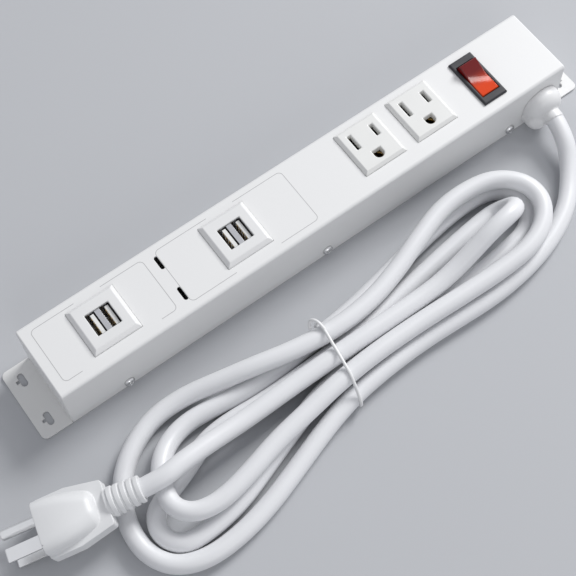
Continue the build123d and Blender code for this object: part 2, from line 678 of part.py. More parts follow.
# ---------------------------------------------------------------- earth point and wires
earth_x, earth_y = ground_screw_at
barrel_z = base_sheet + barrel_height / 2
barrel_right = earth_x + lug_reach + barrel_length
barrel_left = earth_x - lug_reach - barrel_length
with BuildPart() as ground_lug:
    with BuildSketch(Plane.XY.offset(base_sheet)):
        with Locations((earth_x, earth_y)):
            Circle(lug_r)
            Rectangle(2 * (lug_reach + barrel_length), barrel_width)
            Circle(lug_hole_r, mode=Mode.SUBTRACT)
    extrude(amount=lug_thick)
    for low_x, high_x in ((barrel_left, earth_x - lug_reach), (earth_x + lug_reach, barrel_right)):
        block(
            (low_x, earth_y - barrel_width / 2, base_sheet),
            (high_x, earth_y + barrel_width / 2, base_sheet + barrel_height),
        )
save(ground_lug.part, "ground_lug")

with BuildPart() as ground_screw:
    with BuildSketch(Plane.XY.offset(base_sheet + lug_thick)):
        with Locations((earth_x, earth_y)):
            Circle(ground_head_r)
    extrude(amount=ground_head_height)
    chamfer(ground_screw.edges().group_by(Axis.Z)[-1], length=ground_head_edge)
    with BuildSketch(Plane.XY.offset(base_sheet + lug_thick)):
        with Locations((earth_x, earth_y)):
            Circle(ground_shank_r)
    extrude(amount=-lug_thick - base_sheet)
    with BuildSketch(Plane.XY.offset(base_sheet + lug_thick + ground_head_height)):
        with Locations((earth_x, earth_y)):
            Rectangle(ground_cross_length, cross_width)
            Rectangle(cross_width, ground_cross_length)
    extrude(amount=-cross_depth, mode=Mode.SUBTRACT)
save(ground_screw.part, "ground_screw")

bus_end = tray_right + bus_tail
bus_start = tray_left - bus_tail
terminal_face = terminal_thick / 2
back_terminal_y = switch_y + terminal_pitch
high_wire_z, low_wire_z = gland_z + wire_spread, gland_z - wire_below

hot_feed = tube(
    [
        (gland_x - wire_spread, gland_inner_y, high_wire_z),
        (gland_x - wire_spread, gland_inner_y + wire_start, high_wire_z), (132, -1.5, 14.8),
        (127.5, 0.6, 12), (119, switch_y, terminal_wire_z),
        (switch_x + terminal_face, switch_y, terminal_wire_z),
    ],
    wire_r,
)
hot_link = tube(
    [
        (switch_x - terminal_face, back_terminal_y, terminal_wire_z),
        (104.5, back_terminal_y, terminal_wire_z), (98.0, hot_bus_y, bus_z), (bus_end, hot_bus_y, bus_z),
    ],
    wire_r,
)
with BuildPart() as hot_wires:
    add([hot_feed, hot_link])
save(hot_wires.part, "hot_wires")

neutral_wire = tube(
    [
        (gland_x + wire_spread, gland_inner_y, high_wire_z),
        (gland_x + wire_spread, gland_inner_y + wire_start, high_wire_z), (138.2, 0.5, 14),
        (136, 7, 8), (127, 12, 4), (115, 13, 3.6), (102, 12.8, 5.5), (97.2, neutral_bus_y, bus_z),
        (bus_end, neutral_bus_y, bus_z),
    ],
    wire_r,
)
save(neutral_wire, "neutral_wire")

ground_feed = tube(
    [
        (gland_x, gland_inner_y, low_wire_z), (gland_x, gland_inner_y + wire_start, low_wire_z),
        (gland_x + 0.6, -5.6, 8.5), (gland_x + 0.6, -5.2, 4.4),
        (barrel_right + 4.5, earth_y, barrel_z), (barrel_right, earth_y, barrel_z),
    ],
    wire_r,
)
ground_link = tube(
    [
        (barrel_left, earth_y, barrel_z), (barrel_left - wire_start, earth_y, barrel_z),
        (107, -6.5, 3.1), (103, -11.5, 3.4), (98.5, -10.5, 6.8),
        (96.5, ground_bus_y, bus_z), (bus_end, ground_bus_y, bus_z),
    ],
    wire_r,
)
with BuildPart() as ground_wires:
    add([ground_feed, ground_link])
save(ground_wires.part, "ground_wires")

board_z = board_top - board_thick / 2
feed_right, feed_left = usb_x[1] + board_right, usb_x[1] - board_left
with BuildPart() as usb_feed_wires:
    for bus_y, side in ((neutral_bus_y, 1), (hot_bus_y, -1)):
        lane_y = usb_y + side * feed_lane
        add(tube(
            [
                (bus_start, bus_y, bus_z), (19, bus_y, bus_z), (8, lane_y, 7.5), (-2, lane_y + 1, 12.5),
                (-6, lane_y, board_z), (feed_right, lane_y, board_z),
            ],
            thin_wire_r,
        ))
        add(tube(
            [
                (feed_left, lane_y, board_z), (-60.5, lane_y, board_z), (-66, lane_y + side * feed_sway, 10),
                (-76, lane_y + side * feed_sway, 9), (-81, lane_y, board_z),
                (usb_x[0] + board_right, lane_y, board_z),
            ],
            thin_wire_r,
        ))
save(usb_feed_wires.part, "usb_feed_wires")

# ---------------------------------------------------------------- strain relief
gland_face = Plane(origin=(gland_x, -half_width, gland_z), x_dir=(1, 0, 0), z_dir=(0, -1, 0))
with BuildPart() as lobe:
    with BuildSketch(gland_face):
        with Locations(lobe_at):
            Circle(lobe_r)
    extrude(amount=lobe_reach)
    fillet(lobe.faces().sort_by(Axis.Y)[0].edges(), radius=lobe_round)

with BuildPart() as strain_relief:
    with BuildSketch(gland_face):
        Circle(cord_r + dome_over_cord)
    extrude(amount=dome_reach)
    fillet(strain_relief.faces().sort_by(Axis.Y)[0].edges(), radius=dome_round)
    add(lobe.part)
    with BuildSketch(gland_face):
        with Locations((0, -cord_below_gland)):
            Circle(cord_r + snout_over_cord)
    with BuildSketch(Plane(origin=lead_start, z_dir=lead_second - lead_start)):
        Circle(cord_r + snout_end_over_cord)
    loft()
    with BuildSketch(gland_face):
        Circle(gland_hole_r - gland_fit)
    extrude(amount=-gland_shank_length)
    with BuildSketch(gland_face.offset(-sheet)):
        Circle(gland_nut_r)
    extrude(amount=-gland_nut_thick)
save(strain_relief.part, "strain_relief")

# ---------------------------------------------------------------- cord, hank and tie
cord_lead = tube(lead_route, cord_r)
save(cord_lead, "cord_lead")
cord_tail = tube(tail_route, cord_r)
save(cord_tail, "cord_tail")
for name, route, solid in (("lead", lead_route, cord_lead), ("tail", tail_route, cord_tail)):
    with BuildLine() as line:
        FilletPolyline(*route, radius=eased_radii(route))
    run = sum(edge.length for edge in line.edges())
    print(name, "length", round(run, 1), "volume share", round(solid.volume / (run * pi * cord_r**2), 4))
    print(name, "radii", [round(radius, 1) for radius in eased_radii(route)])

tie_direction = (cos(radians(tie_turn)), -sin(radians(tie_turn)), 0)
tie_across = (sin(radians(tie_turn)), cos(radians(tie_turn)), 0)
tie_plane = Plane(origin=(*tie_at, tie_gap + tie_wire), x_dir=tie_across, z_dir=tie_direction)


def tie_outline():
    """The round-cornered outline that the tie takes round the cord's turns."""
    Polygon(
        (-tie_low_width / 2, 0), (tie_low_width / 2, 0),
        (tie_high_width / 2, tie_inside_height), (-tie_high_width / 2, tie_inside_height),
        align=None,
    )
    fillet(vertices(), radius=tie_corner)


with BuildPart() as tie_inside:
    with BuildSketch(tie_plane):
        tie_outline()
    extrude(amount=tie_width / 2 + tie_gap, both=True)

with BuildPart() as tie_groove:
    with BuildSketch(tie_plane):
        Rectangle(3 * tie_low_width, 3 * tie_inside_height)
    extrude(amount=tie_width / 2 + tie_gap, both=True)
    add(tie_inside.part, mode=Mode.SUBTRACT)

with BuildPart() as cord_hank:
    with BuildSketch():
        with BuildLine():
            Spline(*hank_low_outline, periodic=True)
        make_face()
    extrude(amount=2 * cord_r)
    with BuildSketch():
        with BuildLine():
            Spline(*hank_high_outline, periodic=True)
        make_face()
    extrude(amount=hank_high)
    add(tie_groove.part, mode=Mode.SUBTRACT)
    for end, before in ((lead_route[-1], lead_route[-2]), (tail_route[0], tail_route[1])):
        with Locations(Plane(origin=end, z_dir=Vector(*before) - Vector(*end))):
            Box(
                2 * (cord_r + cord_room), 2 * (cord_r + cord_room), 6 * cord_r,
                align=(Align.CENTER, Align.CENTER, Align.MIN), mode=Mode.SUBTRACT,
            )
save(cord_hank.part, "cord_hank")

with BuildPart() as cord_tie:
    with BuildSketch(tie_plane):
        tie_outline()
        offset(amount=tie_wire)
    extrude(amount=tie_width / 2, both=True)
    add(tie_inside.part, mode=Mode.SUBTRACT)
save(cord_tie.part, "cord_tie")

# ---------------------------------------------------------------- plug
plug_side = Vector(0, 0, 1).cross(plug_direction).normalized()
plug_plane = Plane(origin=plug_face, x_dir=-plug_side, z_dir=plug_direction)
with BuildPart() as plug_hump:
    with BuildSketch(plug_plane):
        RectangleRounded(face_width, face_height, face_round)
    with BuildSketch(plug_plane.offset(-middle_share * plug_length)):
        RectangleRounded(middle_width, middle_height, middle_round)
    with BuildSketch(plug_plane.offset(-hump_share * plug_length)):
        RectangleRounded(hump_width, hump_height, hump_round)
    loft()
    fillet(plug_hump.faces().sort_by(Axis(plug_face, plug_direction))[0].edges(), radius=hump_end)

wing_plane = Plane(origin=plug_face, x_dir=plug_plane.x_dir, z_dir=plug_plane.y_dir)
with BuildPart() as plug_wing:
    with BuildSketch(wing_plane.offset(-wing_thick / 2)):
        with BuildLine():
            Polyline(
                (-wing_width / 2, 0), (wing_width / 2, 0), (wing_width / 2, wing_straight),
                (wing_rear_width / 2, plug_length), (-wing_rear_width / 2, plug_length),
                (-wing_width / 2, wing_straight), close=True,
            )
        make_face()
        fillet(vertices(), radius=wing_round)
    extrude(amount=wing_thick)
    fillet(plug_wing.faces().sort_by(Axis(plug_face, plug_plane.y_dir))[-1].edges(), radius=wing_edge)

with BuildPart() as plug_body:
    add([plug_hump.part, plug_wing.part])
    with BuildSketch(wing_plane):
        with BuildLine():
            points = [(0, plug_length - neck_in_plug), (neck_r, plug_length - neck_in_plug)]
            pitch = neck_length / neck_ribs
            for rib in range(neck_ribs):
                share = rib / neck_ribs
                core = neck_r + (neck_end_r - neck_r) * share
                start = plug_length + rib * pitch
                points += [
                    (core, start), (core, start + (1 - rib_share) * pitch),
                    (core + rib_rise, start + (1 - rib_share) * pitch),
                    (core + rib_rise, start + pitch),
                ]
            points += [(0, plug_length + neck_length)]
            Polyline(*points, close=True)
        make_face()
    revolve(axis=Axis(plug_face, -plug_direction))
save(plug_body.part, "plug_body")

for name, side in (("plug_hot_blade", 1), ("plug_neutral_blade", -1)):
    with BuildPart() as blade:
        with BuildSketch(plug_plane):
            with Locations((blade_shift, side * blade_pitch / 2)):
                Rectangle(blade_width, blade_thick)
        extrude(amount=blade_length)
        chamfer(blade.faces().sort_by(Axis(plug_face, plug_direction))[-1].edges(), length=blade_tip)
    save(blade.part, name)

with BuildPart() as plug_ground_pin:
    with BuildSketch(plug_plane):
        with Locations((blade_shift + ground_below, 0)):
            Circle(pin_r)
    extrude(amount=pin_length)
    fillet(plug_ground_pin.faces().sort_by(Axis(plug_face, plug_direction))[-1].edges(), radius=pin_tip)
save(plug_ground_pin.part, "plug_ground_pin")
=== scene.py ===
# %% [markdown]
# # A power strip with its cord tied beside it
# The construction comes packed as a fixed frame: every piece of it is already at its real size and
# place, in metres, with +X along the casing towards the switch, +Y to the back and +Z up. This
# notebook gives that frame its looks. It starts by loading the frame.

# %% Load the frame
import json
from math import radians

import bmesh
import bpy
from mathutils import Matrix, Vector
from mathutils.bvhtree import BVHTree

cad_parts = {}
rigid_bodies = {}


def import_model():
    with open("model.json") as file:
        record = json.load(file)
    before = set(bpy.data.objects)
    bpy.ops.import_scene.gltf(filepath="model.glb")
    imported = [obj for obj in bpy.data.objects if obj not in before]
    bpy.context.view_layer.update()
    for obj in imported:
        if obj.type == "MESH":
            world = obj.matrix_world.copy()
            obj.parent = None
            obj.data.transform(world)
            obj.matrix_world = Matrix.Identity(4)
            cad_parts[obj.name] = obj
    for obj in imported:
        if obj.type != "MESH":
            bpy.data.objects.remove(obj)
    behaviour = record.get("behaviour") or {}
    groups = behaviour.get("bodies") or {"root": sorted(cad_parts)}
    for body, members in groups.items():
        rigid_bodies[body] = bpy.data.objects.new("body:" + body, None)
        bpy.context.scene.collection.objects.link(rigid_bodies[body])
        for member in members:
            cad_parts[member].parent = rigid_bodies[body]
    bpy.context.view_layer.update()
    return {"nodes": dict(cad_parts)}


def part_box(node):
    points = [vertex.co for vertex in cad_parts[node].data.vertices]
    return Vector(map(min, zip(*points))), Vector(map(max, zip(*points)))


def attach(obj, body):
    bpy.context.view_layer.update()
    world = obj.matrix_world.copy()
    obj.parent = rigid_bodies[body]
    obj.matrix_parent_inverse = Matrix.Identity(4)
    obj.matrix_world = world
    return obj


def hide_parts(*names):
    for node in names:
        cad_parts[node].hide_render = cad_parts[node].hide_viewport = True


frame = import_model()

MM = 0.001

# %% [markdown]
# ## The camera
# A long flat thing is best seen from above one corner through a long lens, so that the casing and
# its cord are both in view and far edges hardly shrink. A camera could be aimed with a constraint,
# but a place and a turn written down are simpler to reuse, so the view is set once here.

# %% Camera
def place_camera(location, turn, lens):
    """A camera at a place in metres, turned by angles in degrees, with its lens in millimetres."""
    lens_data = bpy.data.cameras.new("camera")
    lens_data.sensor_width = 36.0
    lens_data.lens = lens
    lens_data.clip_start, lens_data.clip_end = 0.02, 20.0
    camera = bpy.data.objects.new("camera", lens_data)
    bpy.context.scene.collection.objects.link(camera)
    camera.location = location
    camera.rotation_euler = [radians(angle) for angle in turn]
    bpy.context.scene.camera = camera
    return camera


camera = place_camera((-0.17739, -0.24793, 0.58104), (24.885, 0.976, -36.036), 80.828)
print("camera", tuple(camera.location), "lens", camera.data.lens)

# %% [markdown]
# ## Finishes in Python arithmetic
# A procedural finish is a small formula over the surface: a grain, a mottle, a scratch. Nodes could
# be wired one by one, but the formula drowns in wiring. Here one class wraps a socket, so that
# `0.4 + 0.1 * grain` adds its own Math nodes, and one method makes any other node.

# %% A socket that takes part in arithmetic
MIX_SHARE, MIX_FIRST, MIX_SECOND = 0, 6, 7  # the inputs that a Mix node uses for colours
MIX_COLOUR = 2  # and its output for them


class Value:
    """A number that varies over the surface, as an output socket of a finish."""

    def __init__(self, finish, socket):
        self.finish, self.socket = finish, socket

    def math(self, operation, *operands):
        inputs = dict(enumerate(operands))
        return self.finish.node("ShaderNodeMath", {"operation": operation}, inputs)

    def __add__(self, other):
        return self.math("ADD", self, other)

    def __radd__(self, other):
        return self.math("ADD", other, self)

    def __sub__(self, other):
        return self.math("SUBTRACT", self, other)

    def __rsub__(self, other):
        return self.math("SUBTRACT", other, self)

    def __mul__(self, other):
        return self.math("MULTIPLY", self, other)

    def __rmul__(self, other):
        return self.math("MULTIPLY", other, self)

    def step(self, low, high):
        """0 below low, 1 above high and smooth between."""
        ranges = {"Value": self, "From Min": low, "From Max": high}
        return self.finish.node("ShaderNodeMapRange", {"interpolation_type": "SMOOTHSTEP"}, ranges)


class Finish:
    """The nodes of a material or of the world, all made by one method."""

    def __init__(self, owner):
        self.owner = owner
        owner.use_nodes = True
        self.tree = owner.node_tree
        self.tree.nodes.clear()

    def node(self, kind, settings=None, inputs=None, output=0):
        """Any node: its type, its settings, the values or links of its sockets, and its output."""
        made = self.tree.nodes.new(kind)
        for name, value in (settings or {}).items():
            setattr(made, name, value)
        for name, value in (inputs or {}).items():
            if isinstance(value, Value):
                self.tree.links.new(value.socket, made.inputs[name])
            else:
                made.inputs[name].default_value = value
        return Value(self, made.outputs[output]) if len(made.outputs) else None

    def place(self, stretch=(1, 1, 1), centre=(0, 0, 0)):
        """The point on the piece, measured from a centre and stretched along each axis."""
        point = self.node("ShaderNodeTexCoord", output="Object")
        moved = self.node("ShaderNodeVectorMath", {"operation": "SUBTRACT"}, {0: point, 1: centre})
        inputs = {"Vector": moved, "Scale": stretch}
        return self.node("ShaderNodeMapping", {"vector_type": "POINT"}, inputs)

    def axis(self, name, point):
        """One coordinate of a point, in metres."""
        return self.node("ShaderNodeSeparateXYZ", None, {"Vector": point}, name)

    def grain(self, size, detail=2.0, roughness=0.5, vector=None):
        """Noise from 0 to 1 whose lumps are about this many millimetres across."""
        inputs = {"Scale": 1.0 / (size * MM), "Detail": detail, "Roughness": roughness}
        inputs["Vector"] = vector or self.place()
        return self.node("ShaderNodeTexNoise", None, inputs, "Fac")

    def blend(self, share, first, second):
        """A colour between two, by a share from 0 to 1."""
        sockets = {MIX_SHARE: share, MIX_FIRST: (*first, 1.0), MIX_SECOND: (*second, 1.0)}
        return self.node("ShaderNodeMix", {"data_type": "RGBA"}, sockets, MIX_COLOUR)

    def bump(self, height, depth):
        """A normal from a height of 0 to 1 that stands for this many millimetres."""
        return self.node("ShaderNodeBump", None, {"Height": height, "Distance": depth * MM})

    def done(self, **sockets):
        """Closes the finish with a Principled surface whose sockets are given by name."""
        named = {name.replace("_", " ").title(): value for name, value in sockets.items()}
        if "Ior" in named:
            named["IOR"] = named.pop("Ior")
        surface = self.node("ShaderNodeBsdfPrincipled", None, named)
        self.node("ShaderNodeOutputMaterial", None, {"Surface": surface})
        return self.owner


def new_finish(name):
    """An empty finish on a new material."""
    return Finish(bpy.data.materials.new(name))


print("finishes are ready")

# %% [markdown]
# ## Moulded plastics and vinyl
# Moulded plastic looks alive through three small things: a fine grain left by the mould, roughness
# that wanders a little, and a faint mottle in the colour. One function makes them all, and each
# plastic only says how strong they are. Vinyl is the same with a softer shine.

# %% Plastics
def plastic(name, colour, shine, grain_size=0.6, grain_depth=0.004, mottle=0.02, coat=0.0):
    """A moulded plastic: its colour, its roughness and how deep its grain is, in millimetres."""
    finish = new_finish(name)
    cloud = finish.grain(14.0, detail=3.0)
    grain = finish.grain(grain_size, detail=3.0, roughness=0.6)
    dark = [channel * (1.0 - 2.5 * mottle) for channel in colour]
    return finish.done(
        base_color=finish.blend(cloud, dark, colour),
        roughness=shine - 0.05 + 0.1 * finish.grain(3.0),
        normal=finish.bump(grain, grain_depth),
        coat_weight=coat,
        coat_roughness=0.12,
        ior=1.5,
    )


outlet_plastic = plastic("outlet_plastic", (0.83, 0.83, 0.81), 0.3, 0.9, 0.003, coat=0.15)
usb_plastic = plastic("usb_plastic", (0.82, 0.82, 0.815), 0.3, 0.9, 0.003, coat=0.15)
plug_vinyl = plastic("plug_rubber", (0.80, 0.805, 0.81), 0.4, 0.8, 0.006)
gland_plastic = plastic("gland_plastic", (0.81, 0.81, 0.81), 0.35, 0.8, 0.005)
tie_vinyl = plastic("tie_plastic", (0.84, 0.84, 0.84), 0.35, 0.5, 0.004)
tongue_plastic = plastic("tongue_plastic", (0.82, 0.82, 0.80), 0.45, 0.4, 0.003)
tray_plastic = plastic("tray_plastic", (0.10, 0.10, 0.105), 0.5, 0.5, 0.006)
switch_plastic = plastic("switch_plastic", (0.020, 0.020, 0.025), 0.5, 0.35, 0.010, mottle=0.08)
circuit_board = plastic("circuit_board", (0.02, 0.16, 0.06), 0.35, 1.4, 0.004, mottle=0.1, coat=0.4)
wire_black = plastic("wire_black", (0.02, 0.02, 0.02), 0.4, 0.7, 0.006, mottle=0.06)
wire_white = plastic("wire_white", (0.80, 0.80, 0.79), 0.4, 0.7, 0.006)
wire_green = plastic("wire_green", (0.02, 0.22, 0.05), 0.4, 0.7, 0.006, mottle=0.06)
print("materials so far", len(bpy.data.materials))

# %% [markdown]
# The cord's jacket is pulled through a die, so its faint marks run along it. A pattern in space
# would cut across the loops, so this one reads the strand's own map, in which one number runs along
# the cord and the other goes round it.

# %% Cord jacket
MARKS_PER_METRE, MARKS_ROUND = 30.0, 26.0


def extruded_vinyl(name, colour, length):
    """A drawn jacket with fine lines along it, on a strand of this length in metres."""
    finish = new_finish(name)
    strand_map = finish.node("ShaderNodeTexCoord", output="UV")
    stretched = finish.node(
        "ShaderNodeMapping", {"vector_type": "POINT"},
        {"Vector": strand_map, "Scale": (length * MARKS_PER_METRE, MARKS_ROUND, 1.0)},
    )
    lines = finish.node(
        "ShaderNodeTexNoise", None,
        {"Scale": 1.0, "Detail": 2.0, "Roughness": 0.5, "Vector": stretched}, "Fac",
    )
    grain = finish.grain(0.7, detail=3.0)
    cloud = finish.grain(18.0)
    dull = [channel * 0.95 for channel in colour]
    return finish.done(
        base_color=finish.blend(cloud, dull, colour),
        roughness=0.30 + 0.12 * lines + 0.05 * grain,
        normal=finish.bump(0.7 * lines + 0.3 * grain, 0.012),
        ior=1.5,
    )


CORD_LENGTH = 1.89
cord_jacket = extruded_vinyl("cord_jacket", (0.81, 0.815, 0.83), CORD_LENGTH)
print("jacket", cord_jacket.name, "for a cord of", CORD_LENGTH, "m")

# %% [markdown]
# ## The cord
# The lead is a 9.4 mm vinyl cord, looped three times beside the casing and held at its waist by a
# wire tie. It could be a simulation, but a rope that is meant to lie in a known figure is quicker
# to lay from listed points: one smooth NURBS line through the air, whose control points follow
# the real loops.
# The cord drops out of the gland, runs round the two ends, climbs over its own turns in long low
# humps, turns up and back inside the right-hand loop and ends in the plug. The points are
# millimetres, and each list is one stretch between two ends of the figure.

# %% Cord route
CORD_RADIUS = 4.7
lead = [
    (136, -34, 13), (134, -44, 11.5), (129, -54, 7), (121, -64, 4.7), (111, -73, 4.7),
    (98, -80, 4.7), (83, -85, 4.7),
]
outer_front = [
    (66, -88, 4.7), (48, -89, 4.7), (28, -88, 4.7), (8, -87, 4.8), (-14, -87.8, 5.8),
    (-36, -90, 6.1), (-56, -95, 5.4), (-77, -102, 4.7), (-98, -109, 4.7), (-118, -112.8, 4.7),
    (-136, -112.8, 4.7), (-149.5, -107, 4.7), (-156.5, -95.5, 4.7), (-157, -82, 4.7),
    (-153, -69, 4.7),
]
upper_back = [
    (-145, -57, 4.7), (-133, -48, 4.7), (-118, -42.5, 4.7), (-101, -43, 6.5), (-84, -48, 10.5),
    (-66, -53, 14), (-46, -58, 14.8), (-24, -60.5, 14.5), (-2, -58.5, 13.6), (18, -53, 13.6),
    (37, -46, 14.2), (55, -40, 14.4), (72, -39, 14.4), (88, -42, 14.4), (98.5, -52.5, 15.2),
]
upper_front = [
    (100, -65, 15), (92, -76, 14.4), (78, -82, 14.2), (60, -83, 13.5), (40, -82.5, 13),
    (20, -81.5, 13), (0, -81, 13.4), (-20, -81.5, 14.4), (-40, -83, 14.6), (-60, -86, 14.3),
    (-80, -89, 14.3), (-99, -94, 14.3), (-116, -97, 14), (-129, -95, 14.3), (-136, -87, 14.4),
    (-134.5, -76, 13.4),
]
lower_back = [
    (-129, -65, 10), (-120, -57.5, 6.3), (-108, -54, 4.7), (-94, -55, 4.7), (-76, -57.5, 4.7),
    (-56, -58, 5.4), (-34, -56.5, 6.1), (-12, -54.5, 5.6), (10, -50.5, 4.7), (32, -46, 4.7),
    (52, -42.5, 4.7), (70, -41, 4.7), (87, -42.5, 4.7), (97, -52, 4.7),
]
inner_front = [
    (95, -64, 4.7), (87, -71, 4.7), (75, -73.5, 4.7), (58, -75.5, 4.7), (38, -77, 4.7),
    (16, -77, 4.8), (-6, -76.5, 5.6), (-28, -77.5, 6.1), (-48, -80, 5.8), (-68, -86, 4.7),
    (-88, -93, 4.7), (-106, -99.5, 4.7), (-122, -102.2, 4.7), (-137, -102.3, 4.7),
    (-142.7, -99.2, 4.7), (-146, -93.7, 4.7), (-146, -87.1, 4.7), (-142.7, -81.4, 4.7),
]
inner_back = [
    (-136, -78.1, 4.7), (-122, -73.8, 4.7), (-107, -67, 4.7), (-92, -65.5, 4.7), (-72, -67.2, 4.7),
    (-50, -67.2, 5.6), (-28, -67, 6.1), (-6, -65, 5.6), (16, -61.5, 4.7), (36, -58.5, 4.7),
    (54, -56, 4.7), (75.4, -53.6, 4.7), (81.2, -55.3, 7.6),
]
folded_back = [
    (84.5, -58.2, 12.6), (84.5, -61.6, 18.4), (81.2, -64.5, 23.4), (75.4, -66.2, 26.3),
    (64, -67.4, 25), (52, -68.8, 20), (40, -70.2, 15.6), (26, -71.3, 13), (4, -71.5, 13.4),
    (-16, -71.5, 14.4), (-36, -71.5, 14.6), (-56, -71.5, 14.4), (-76, -72, 14.8),
    (-88, -72.3, 15.4),
]
tail = [
    (-100, -72.5, 17), (-111, -73, 19.4), (-123, -74, 21.8), (-132.9, -75.2, 22.5),
    (-142.5, -73, 20.3),
]
cord_points = (
    lead + outer_front + upper_back + upper_front + lower_back + inner_front + inner_back
    + folded_back + tail
)


def smooth_line(name, points, radius, material, slot, closed=False, sides=24):
    """A round strand whose centre line is one NURBS curve controlled by points in millimetres."""
    curve = bpy.data.curves.new(name, "CURVE")
    curve.dimensions = "3D"
    spline = curve.splines.new("NURBS")
    spline.points.add(len(points) - 1)
    for control, point in zip(spline.points, points):
        control.co = (*(coordinate * MM for coordinate in point), 1.0)
    spline.order_u = 3
    spline.use_endpoint_u, spline.use_cyclic_u = not closed, closed
    spline.resolution_u = 8
    spline.use_smooth = True
    curve.bevel_depth = radius * MM
    curve.bevel_resolution = sides // 4 - 1
    curve.use_fill_caps = True
    curve.materials.append(material)
    strand = bpy.data.objects.new(name, curve)
    bpy.context.scene.collection.objects.link(strand)
    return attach(strand, "casing")


cord = smooth_line("cord", cord_points, CORD_RADIUS, cord_jacket, "cord_jacket")
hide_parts("cord_lead", "cord_hank", "cord_tail")
print("cord has", len(cord_points), "control points")

# %% [markdown]
# ## Metals
# Stamped and plated metal is told apart by its streaks: rolled strip has long ones, a plated screw
# hardly any. The streaks are noise that is stretched along one axis. They change the roughness and
# a very small bump, and the colour stays that of the metal.

# %% Metals
def metal(name, colour, shine, streak=(1, 1, 1), streak_size=1.0, depth=0.002, tarnish=0.06):
    """A bare or plated metal with streaks: the stretch is small along the axis they follow."""
    finish = new_finish(name)
    stretched = finish.place(stretch=streak)
    lines = finish.grain(streak_size, detail=4.0, roughness=0.6, vector=stretched)
    cloud = finish.grain(5.0, detail=2.0)
    dark = [channel * (1.0 - 2.0 * tarnish) for channel in colour]
    return finish.done(
        base_color=finish.blend(cloud, dark, colour),
        metallic=1.0,
        roughness=shine - 0.04 + 0.12 * lines,
        normal=finish.bump(lines, depth),
    )


screw_chrome = metal("screw_chrome", (0.72, 0.72, 0.72), 0.16, streak_size=0.6)
usb_steel = metal("usb_steel", (0.60, 0.60, 0.61), 0.26, (1, 1, 0.06), 0.4)
contact_brass = metal("contact_brass", (0.62, 0.42, 0.16), 0.28, (1, 1, 0.1), 0.5, tarnish=0.12)
blade_nickel = metal(
    "blade_nickel", (0.84, 0.84, 0.83), 0.34, (0.08, 1, 1), 0.35, 0.003, tarnish=0.02
)
can_aluminium = metal("can_aluminium", (0.70, 0.71, 0.73), 0.3, (1, 1, 0.1), 0.5)
ferrite = metal("ferrite", (0.07, 0.07, 0.075), 0.6, streak_size=0.8, depth=0.02)
print("materials so far", len(bpy.data.materials))

# %% [markdown]
# ## The painted case
# The steel is powder coated in white. Powder melts into a skin with a very shallow orange peel,
# about a millimetre from hump to hump, under a soft shine. Two grains are added: the peel, and a
# finer one that breaks the shine up.

# %% Powder coat
def powder_coat(name, colour, shine, peel_depth):
    """A baked powder skin with a shallow orange peel, its depth in millimetres."""
    finish = new_finish(name)
    peel = finish.grain(1.3, detail=1.0)
    fine = finish.grain(0.25, detail=2.0)
    cloud = finish.grain(45.0, detail=2.0)
    dull = [channel * 0.975 for channel in colour]
    return finish.done(
        base_color=finish.blend(cloud, dull, colour),
        roughness=shine + 0.08 * (peel - 0.5) + 0.04 * fine,
        normal=finish.bump(0.75 * peel + 0.25 * fine, peel_depth),
        ior=1.5,
    )


case_paint = powder_coat("case_paint", (0.83, 0.83, 0.825), 0.36, 0.016)
base_paint = powder_coat("base_paint", (0.76, 0.76, 0.75), 0.4, 0.014)
print("paints ready")

# %% [markdown]
# ## Edges that catch the light
# No moulding or sheet has a perfectly sharp edge: the thin highlight along it is what makes it look
# solid. The construction pieces arrive as loose triangles, so each one that shows is copied, its
# points are merged and its sharp edges get a small round from the bevel operator. Where sharp edges
# meet at a needle-thin angle the operator can throw a point far off, so any point farther from the
# piece than the round is wide goes back onto it. A round next to a large flat face would bend the
# light on that face as well, so a Weighted Normal modifier keeps flat faces flat. The copy then
# stands for the piece it came from.

# %% Softened copies
SHARP_ANGLE = radians(30)  # edges that get a round
SMOOTH_ANGLE = radians(40)  # edges that are still shaded sharp
SAME_POINT = 0.002 * MM


def finished_mesh(name, shape):
    """A bmesh made into an object, shaded smooth except across edges over SMOOTH_ANGLE."""
    mesh = bpy.data.meshes.new(name)
    shape.to_mesh(mesh)
    shape.free()
    mesh.shade_smooth()
    mesh.set_sharp_from_angle(angle=SMOOTH_ANGLE)
    piece = bpy.data.objects.new(name, mesh)
    bpy.context.scene.collection.objects.link(piece)
    even = piece.modifiers.new("even_normals", "WEIGHTED_NORMAL")
    even.keep_sharp = True
    return piece


def dress(piece, material, body="casing"):
    """Gives a piece its material and the body it moves with."""
    piece.data.materials.clear()
    piece.data.materials.append(material)
    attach(piece, body)
    return piece


def merged_copy(node):
    """The triangles of a construction piece as one bmesh with shared points."""
    shape = bmesh.new()
    shape.from_mesh(frame["nodes"][node].data)
    bmesh.ops.remove_doubles(shape, verts=shape.verts, dist=SAME_POINT)
    return shape


def softened(node, material, width=0.0, segments=2, body="casing"):
    """A merged copy of a construction piece, its sharp edges rounded this wide in millimetres."""
    shape = merged_copy(node)
    if width:
        surface = BVHTree.FromBMesh(shape)
        sharp = [edge for edge in shape.edges if edge.calc_face_angle(0.0) > SHARP_ANGLE]
        bmesh.ops.bevel(
            shape, geom=sharp, offset=width * MM, offset_type="OFFSET", affect="EDGES",
            segments=segments, profile=0.5, material=-1, clamp_overlap=False,
        )
        for point in shape.verts:
            nearest, _, _, distance = surface.find_nearest(point.co)
            if distance > width * MM:
                point.co = nearest
    piece = dress(finished_mesh(node + "_finished", shape), material, body)
    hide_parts(node)
    return piece


